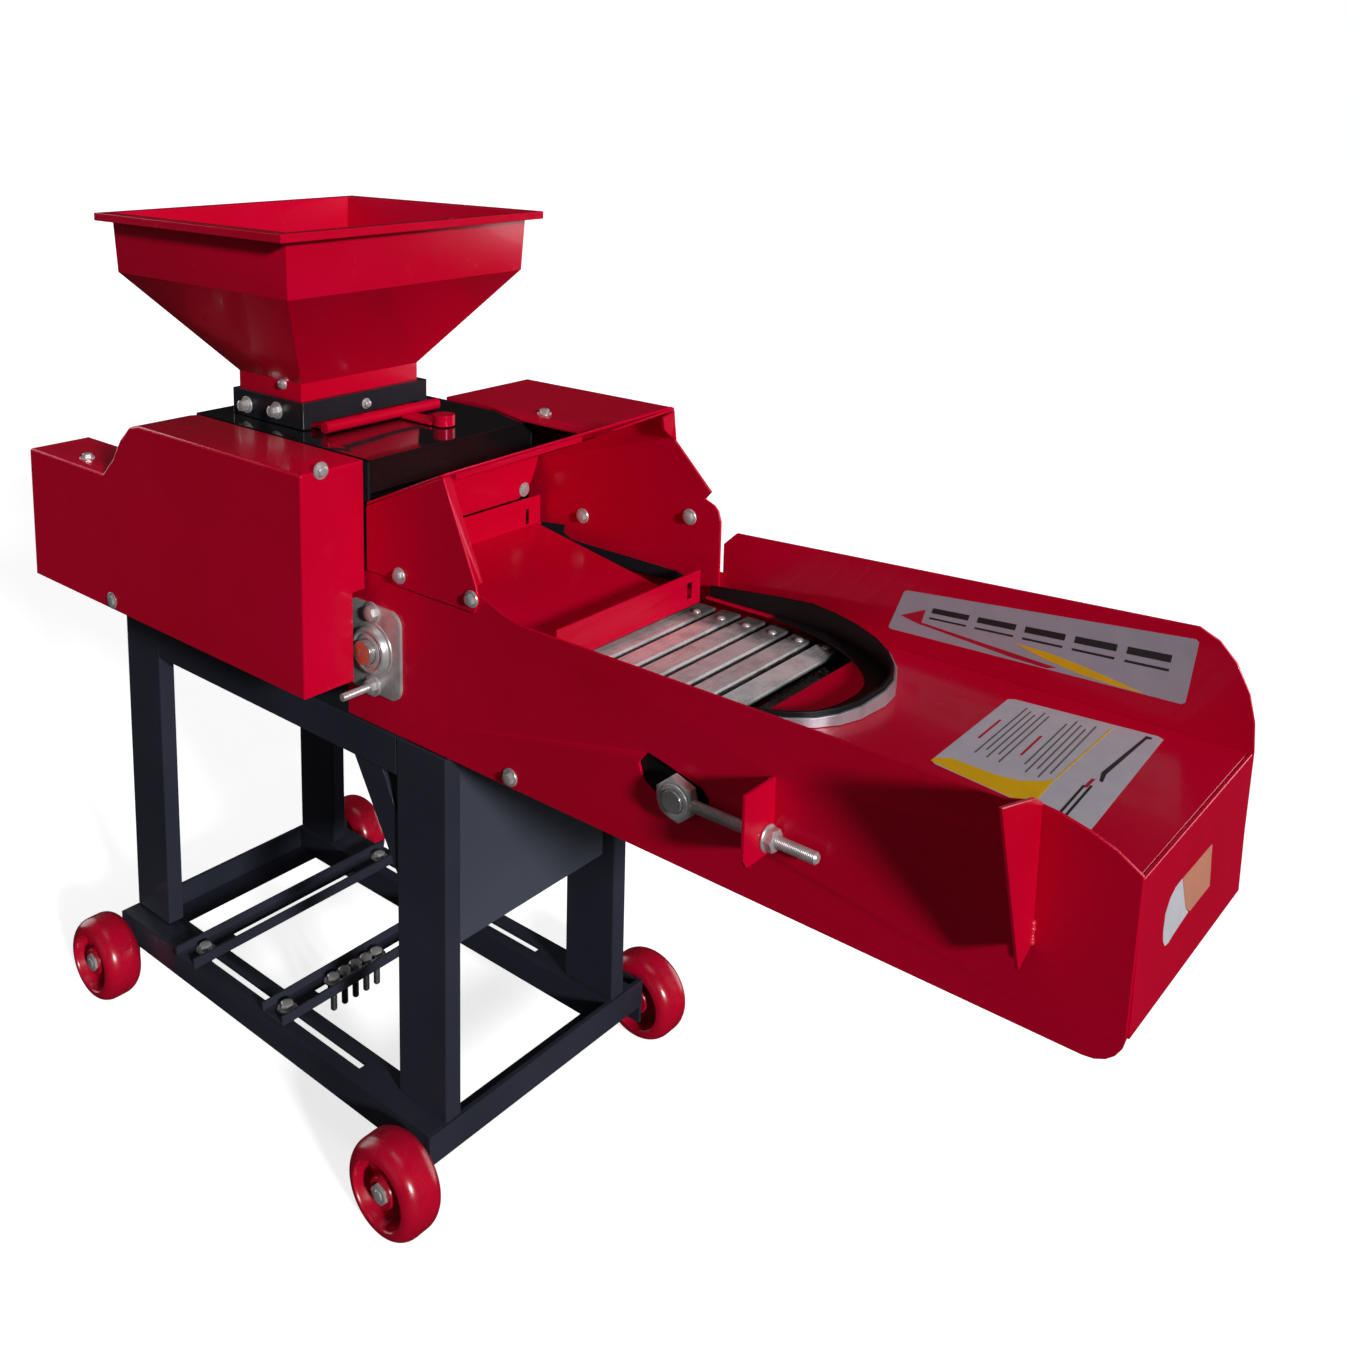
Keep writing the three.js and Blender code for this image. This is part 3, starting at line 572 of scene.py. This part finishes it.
# ------------------------------------------------------------------ flange bearing units
def eared(half, spread):
    """Outline of a round flange with two ears above and below."""
    ear, ear_from = 13.0, 0.62
    points = []
    for i in range(96):
        t = 2 * math.pi * i / 96
        lift = max(0.0, abs(math.sin(t)) - ear_from) / (1 - ear_from)
        u = half * math.cos(t) * (1 - lift)
        u += ear * math.cos(t) / max(abs(math.cos(t)), 0.5) * lift
        v = half * math.sin(t)
        points.append((u, v + math.copysign((spread - half) * lift ** 1.4, v)))
    return points


def padded(half, spread):
    """Outline of a rectangular flange with large round corners."""
    corner = 15.0
    points = []
    for i in range(96):
        t = 2 * math.pi * (i + 0.5) / 96
        u = math.copysign(half - corner, math.cos(t)) + corner * math.cos(t)
        v = math.copysign(spread - corner, math.sin(t)) + corner * math.sin(t)
        points.append((u, v))
    return points


def flange_bearing(node, axis, outline):
    """A pressed flange unit: flat flange, stepped boss, seal and lock ring."""
    height = 10.8
    low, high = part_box(node)
    centre = (low + high) / 2
    base = Vector((centre.x, high.y if axis.y < 0 else low.y, centre.z))
    shape = outline((high.x - low.x) / 2 / MM, (high.z - low.z) / 2 / MM)
    turn = basis(axis)
    rings = [[(u * size * MM, v * size * MM, rise * MM) for u, v in shape]
             for size, rise in ((1.0, 0), (1.0, FLANGE - 0.8), (0.985, FLANGE - 0.2),
                                (0.97, FLANGE), (0.3, FLANGE))]
    upright = abs((turn @ X).x) < 0.5
    if upright:
        rings = [[(y, x, z) for x, y, z in ring] for ring in rings]
    bm = bmesh.new()
    add_rings(bm, rings, Matrix.Translation(base) @ turn)
    lathe(bm, base, axis, [(10, 2.0), (29, 2.9), (28.5, 4.0), (25.2, 4.4), (24.6, 6.0),
                           (23.8, height - 2), (22.6, height - 0.5), (20.8, height),
                           (19.8, height - 0.4), (19.4, height - 1.8), (17.2, height - 2.2),
                           (16.8, height - 0.6), (15.6, height), (13.2, height - 0.2),
                           (12.9, height - 3), (10, height - 3)], 72)
    piece(node + "_skin", bm, ZINC, "frame", (node,), smooth=35)


def drive_shaft_face():
    """End of the drive shaft: a bronze-coloured bush face with its centre drilled."""
    end = P(DRIVE_X, 0, DRIVE_Z)
    end.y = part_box("drive_shaft")[0].y
    bm = bmesh.new()
    lathe(bm, end, -Y, [(2.2, -1.5), (3.2, -0.4), (3.6, 0.1), (10.6, 0.1), (11.6, -0.3),
                        (11.9, -1.5)], 48, loop=True)
    piece("drive_shaft_face", bm, BRASS, "drive", smooth=35)


flange_bearing("bearing_drive_near", -Y, padded)
flange_bearing("bearing_rotor_near", -Y, eared)
flange_bearing("bearing_rotor_far", Y, eared)
drive_shaft_face()


# ------------------------------------------------------------------ fasteners seen on the outside
def drive_bearing_bolts():
    """The drive bearing's short bolt above the shaft and its long stud below."""
    spread = 38                         # from the shaft to each bolt
    low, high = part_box("bearing_drive_near")
    face = (low + high) / 2
    face.y = high.y - FLANGE * MM
    rise = Z * spread * MM
    bm = bmesh.new()
    bolt(bm, face + rise, -Y, 13, 5.0)
    washer(bm, face - rise, -Y, 11, 1.6)
    hexagon(bm, face - rise - Y * 1.6 * MM, -Y, 13, 6.0, 0.3)
    thread(bm, face - rise - Y * 4 * MM, -Y, 4, 36)
    piece("bearing_bolts", bm, ZINC, "frame", smooth=28)


def guard_bolt():
    """The guard's bolt that stands furthest out, in place of its CAD node."""
    low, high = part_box("guard_bolt")
    seat = (low + high) / 2
    seat.y = high.y
    bm = bmesh.new()
    bolt(bm, seat, -Y, 11, 2.0, 0.9)
    piece("guard_bolt_skin", bm, ZINC, BODY_OF["guard_bolt"], ("guard_bolt",), smooth=28)


def motor_bar_bolts(bar_node):
    """The two bolts that clamp a motor bar to the slotted base rails."""
    low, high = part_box(bar_node)
    near_rail, far_rail = -151, 126
    bm = bmesh.new()
    for y in (near_rail, far_rail):
        seat = P(0, y, WEB_TOP)
        seat.x = (low.x + high.x) / 2
        bolt(bm, seat, Z, 13, 5.3)
        thread(bm, seat - Z * 3 * MM, -Z, 3.9, 30)
        hexagon(bm, seat - Z * 16 * MM, Z, 13, 5.4, 0.2)
    piece(f"{bar_node}_bolts", bm, ZINC, BODY_OF[bar_node], smooth=28)


def spare_motor_bolts():
    """Five motor bolts kept side by side in a slot of the front motor bar."""
    count, x, first_y, pitch = 5, 62, -84, 16.5
    body = BODY_OF["motor_bar_front"]
    heads = bmesh.new()
    shanks = bmesh.new()
    for i in range(count):
        seat = P(x, first_y + pitch * i, WEB_TOP)
        bolt(heads, seat, Z, 13, 5.3, turn=0.2 * i)
        thread(shanks, seat - Z * 3 * MM, -Z, 3.9, 34)
        hexagon(shanks, seat - Z * 12.2 * MM, Z, 13, 6.4, 0.5 * i)
    piece("spare_motor_bolt_heads", heads, ZINC, body, smooth=28)
    piece("spare_motor_bolt_shanks", shanks, IRON, body, smooth=28)


drive_bearing_bolts()
bolts("guard_bolts", [(P(202, -203, 753), X), (P(-221, -203, 686), Z)], 10, 4)
guard_bolt()
bolts("collar_bolts", [(P(-28, -117, 766), -Y), (P(25, -117, 768), -Y)], 11, 8)
bolts("collar_side_bolt", [(P(69, -29.5, 768.5), X)], 7, 4, 1.0)
bolts("hopper_bolt", [(P(30, -111.8, 797), -Y)], 7, 3)
bolts("gear_cover_bolt", [(P(205, 112, 755.3), Z)], 9, 4)
bolts("hood_bolts", [(P(252, -149.3, 648), -Y), (P(349, -149.3, 650), -Y),
                     (P(283, 86.6, 661), -Y), (P(421, 86.6, 690), -Y)], 9.5, 4)
bolts("plate_bolts", [(P(395, NEAR_FACE, 491), -Y)], 10, 4)
bolts("feed_plate_bolt", [(P(224.6, 58, 684), X)], 9, 1.6, 0.4)
motor_bar_bolts("motor_bar_rear")
motor_bar_bolts("motor_bar_front")
spare_motor_bolts()


# ------------------------------------------------------------------ take-up and seals
def near_takeup():
    """The near shaft eye with its nut and threaded rod, and the nut that tightens the chain."""
    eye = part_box("takeup_eye_near")
    centre = P(TAIL_X, 0, TAIL_Z)
    centre.y = (eye[0].y + eye[1].y) / 2
    start = centre.x + 14 * MM
    bm = bmesh.new()
    hexagon(bm, centre + Y * 5 * MM, -Y, 34, 9.4, 0.2, 0.2)
    lathe(bm, centre - Y * 4.2 * MM, -Y, [(9.9, 0), (14, 0), (13.4, 1.2), (10.6, 1.4)], 40,
          loop=True)
    thread(bm, Vector((start, centre.y, centre.z)), X, 5, (eye[1].x - start) / MM)
    piece("takeup_eye_near_skin", bm, ZINC, "takeup", ("takeup_eye_near",), smooth=28)

    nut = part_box("takeup_nut")
    seat = Vector((nut[0].x, centre.y, centre.z))
    washer_thick = 1.4
    bm = bmesh.new()
    washer(bm, seat, X, 11, washer_thick)
    hexagon(bm, seat + X * washer_thick * MM, X, 17, (nut[1].x - nut[0].x) / MM - 1.8, 0.4, 0.2)
    piece("takeup_nut_skin", bm, ZINC, "frame", ("takeup_nut",), smooth=28)


def slot_seal(side, face, inward):
    """A black rubber disc on the tail shaft that keeps chaff out of a keyhole slot."""
    bore, radius, thick, rounded, gap = 13, 50, 1.6, 0.4, 0.8
    section = [(bore, 0), (radius, 0), (radius + rounded, rounded),
               (radius + rounded, thick - rounded), (radius, thick), (bore, thick)]
    bm = bmesh.new()
    lathe(bm, P(TAIL_X, face + gap * inward, TAIL_Z), Y * inward, section, 64, loop=True)
    piece(f"slot_seal_{side}", bm, RUBBER, "takeup")


def gusset_welds():
    """Four short upright beads on the near plate, beside the gusset and the take-up tab."""
    y = NEAR_FACE - 1
    bm = bmesh.new()
    for x, top, bottom, radius in ((869, 640, 616, 2.2), (872, 560, 546, 2.4),
                                   (667, 588, 572, 2.0), (667, 548, 536, 2.0)):
        weld(bm, P(x, y, top), P(x, y, bottom), radius)
    piece("gusset_welds", bm, WELD, smooth=60)


def feed_gap_shade_strip():
    """Black strip in the gap between the feed plate and the far cheek: painted shade, a dark sheet
    standing where the gap shows the dark interior.
    """
    outline = [(218, 641), (259, 646), (257, 637), (268, 631.5), (300, 631), (407, 630.5),
               (432, 624), (432, 618.5), (300, 618.5), (222, 637.5)]
    bm = bmesh.new()
    add_rings(bm, [[P(x, y, z) for x, z in outline] for y in (86.5, 85.4)], Matrix.Identity(4))
    piece("feed_gap_shade_strip", bm, BLACK, smooth=30)


near_takeup()
slot_seal("near", NEAR_FACE + SHEET, 1)
slot_seal("far", FAR_PLATE, -1)
gusset_welds()
feed_gap_shade_strip()


# ------------------------------------------------------------------ stickers, all without lettering
def far_plate_sticker():
    """The long silver sticker on the far plate: an arrow, a swoosh and two rows of plain bars."""
    place = [P(651.5, FAR_PLATE, 672.4), P(894, FAR_PLATE, 694.9), P(887.8, FAR_PLATE, 640),
             P(637.2, FAR_PLATE, 633)]
    arrow = [[(0.025, 0.62), (0.105, 0.37), (0.11, 0.74)],
             [(0.11, 0.68), (0.60, 0.93), (0.57, 0.985), (0.45, 0.95), (0.11, 0.73)]]
    swoosh = [(0.44, 0.66), (0.56, 0.70), (0.68, 0.79), (0.79, 0.90), (0.88, 0.985),
              (0.80, 0.985), (0.68, 0.94), (0.56, 0.83)]
    starts = [0.13 + 0.167 * i for i in range(5)]
    bars = [bar(u, v0, u + 0.135, v1) for v0, v1 in ((0.30, 0.42), (0.52, 0.56)) for u in starts]
    decal("strip_film", STICKER_SILVER, place, [clipped(0.01, 0.04)], -Y)
    decal("strip_arrow", STICKER_RED, place, arrow, -Y, 2)
    decal("strip_swoosh", STICKER_YELLOW, place, [swoosh], -Y, 2)
    decal("strip_bars", STICKER_DARK, place, bars, -Y, 2)


def tray_sticker():
    """The pale label on the tray: plain lines with two headings, a swoosh and a bracket."""
    place = [P(764, 58, 617), P(881, 71, 617), P(891, -110, 617), P(767, -90, 617)]
    swoosh = [(0.0, 0.95), (0.08, 0.88), (0.2, 0.875), (0.36, 0.865), (0.5, 0.83), (0.6, 0.76),
              (0.65, 0.70), (0.66, 0.995), (0.4, 0.995), (0.2, 0.995), (0.0, 0.985)]
    band = [(0.69, 0.03), (0.70, 0.03), (0.655, 0.69), (0.645, 0.69)]
    columns = (0.15, 0.19, 0.23, 0.27, 0.31, 0.44, 0.48, 0.52, 0.56, 0.60)
    lines = [bar(u, 0.07 + 0.03 * (i % 3), u + 0.010, 0.74 - 0.07 * (i % 2))
             for i, u in enumerate(columns)]
    heads = [bar(0.085, 0.30, 0.10, 0.58), bar(0.375, 0.34, 0.39, 0.60)]
    bracket = [(0.90, 0.03), (0.935, 0.03), (0.94, 0.05), (0.915, 0.06), (0.865, 0.50),
               (0.88, 0.58), (0.86, 0.58), (0.835, 0.50)]
    posts = [bar(0.80, 0.66, 0.815, 0.98), bar(0.835, 0.64, 0.85, 0.98)]
    tick = [(0.815, 0.58), (0.835, 0.575), (0.83, 0.67), (0.81, 0.68)]
    decal("label_film", STICKER_PALE, place, [clipped(0.04, 0.02)], Z)
    decal("label_swoosh", STICKER_YELLOW, place, [swoosh], Z, 2)
    decal("label_band", STICKER_YELLOW, place, [band], Z, 2)
    decal("label_lines", STICKER_GREY, place, lines, Z, 2)
    decal("label_heads", STICKER_RED, place, heads, Z, 2)
    decal("label_bracket", STICKER_DARK, place, [bracket] + posts, Z, 2)
    decal("label_tick", STICKER_RED, place, [tick], Z, 2)


def cap_sticker():
    """The patch on the tail cap: a white half and a warm half with an uneven outline."""
    place = [P(TROUGH_END, y, z) for y, z in ((0, 500), (100, 500), (100, 600), (0, 600))]
    white = [(-0.61, 0.818), (-0.478, 0.536), (-0.40, 0.473), (-0.703, 0.447), (-0.80, 0.43),
             (-0.87, 0.44), (-0.92, 0.50), (-0.935, 0.58), (-0.92, 0.70), (-0.84, 0.78),
             (-0.74, 0.815)]
    warm = [(-0.60, 0.815), (0.034, 0.80), (0.068, 0.46), (-0.36, 0.462), (-0.47, 0.53)]
    decal("cap_patch", STICKER_WHITE, place, [white], X)
    decal("cap_patch_warm", STICKER_PEACH, place, [warm], X)


far_plate_sticker()
tray_sticker()
cap_sticker()


# ------------------------------------------------------------------ stage, light and camera
SUNS = (                                # name, direction it shines from, strength, width
    ("key", (0.886, -0.328, 0.328), 2.9, 7),
    ("top", (0.05, 0.0, 0.99), 0.30, 30),
    ("fill", (-0.1, -0.95, 0.25), 0.07, 40),
    ("left", (-0.95, 0.0, 0.20), 0.9, 40),
    ("back", (0.30, 0.93, 0.12), 1.0, 40),
)
AIR_DIFFUSE, AIR_SEEN, AIR_MIRRORED = 0.07, 1.0, 0.012
WHITE, ROSY = (1.0, 1.0, 1.0, 1), (1.0, 0.93, 0.95, 1)


def sun(name, toward, strength, width):
    """A distant light shining from the direction `toward`, softened by its width in degrees."""
    data = bpy.data.lights.new(name, "SUN")
    data.energy = strength
    data.angle = math.radians(width)
    lamp = bpy.data.objects.new(name, data)
    bpy.context.scene.collection.objects.link(lamp)
    lamp.rotation_euler = Vector(toward).to_track_quat("Z", "Y").to_euler()


def floor():
    """A plain pale floor that throws no light and no reflection onto the machine."""
    mesh = bpy.data.meshes.new("floor")
    bm = bmesh.new()
    bmesh.ops.create_grid(bm, x_segments=1, y_segments=1, size=30)
    bm.to_mesh(mesh)
    bm.free()
    made = bpy.data.objects.new("floor", mesh)
    bpy.context.scene.collection.objects.link(made)
    g = Graph("floor_pale")
    g.set(Base_Color=(0.80, 0.80, 0.80, 1), Roughness=0.9, Specular_IOR_Level=0.1,
          Emission_Color=WHITE, Emission_Strength=0.72)
    mesh.materials.append(g.mat)
    made.visible_glossy = False
    made.visible_diffuse = False


def air():
    """The studio's backdrop: white to the camera, dim as a light and darker still in the gloss."""
    world = bpy.data.worlds.new("studio_air")
    bpy.context.scene.world = world
    world.use_nodes = True
    tree = world.node_tree

    def shade(back, color, strength):
        back.inputs["Color"].default_value = color
        back.inputs["Strength"].default_value = strength
        return back

    last = shade(tree.nodes["Background"], WHITE, AIR_DIFFUSE)
    path = tree.nodes.new("ShaderNodeLightPath")
    for ray, color, strength in (("Is Glossy Ray", ROSY, AIR_MIRRORED),
                                 ("Is Camera Ray", WHITE, AIR_SEEN)):
        back = shade(tree.nodes.new("ShaderNodeBackground"), color, strength)
        pick = tree.nodes.new("ShaderNodeMixShader")
        tree.links.new(path.outputs[ray], pick.inputs[0])
        tree.links.new(last.outputs[0], pick.inputs[1])
        tree.links.new(back.outputs[0], pick.inputs[2])
        last = pick
    tree.links.new(last.outputs[0], tree.nodes["World Output"].inputs["Surface"])


def camera():
    """The photograph's view: eye point, heading, tilt, lens and framing shift."""
    eye = P(1190.25, -1005.61, 1106.20)
    yaw, pitch, roll = (math.radians(a) for a in (43.124, -9.730, 0.244))
    ahead = Vector((-math.sin(yaw) * math.cos(pitch), math.cos(yaw) * math.cos(pitch),
                    math.sin(pitch)))
    side = Vector((math.cos(yaw), math.sin(yaw), 0))
    up = side.cross(ahead)
    right = side * math.cos(roll) + up * math.sin(roll)
    up = right.cross(ahead)
    data = bpy.data.cameras.new("camera")
    data.sensor_width = 36
    data.lens = 36.80
    data.shift_x = 0.1273
    data.shift_y = -0.2574
    data.clip_end = 100
    made = bpy.data.objects.new("camera", data)
    bpy.context.scene.collection.objects.link(made)
    made.matrix_world = Matrix.Translation(eye) @ Matrix((right, up, -ahead)).transposed().to_4x4()
    bpy.context.scene.camera = made


floor()
for settings in SUNS:
    sun(*settings)
air()
camera()
bpy.context.scene.view_settings.view_transform = "Standard"
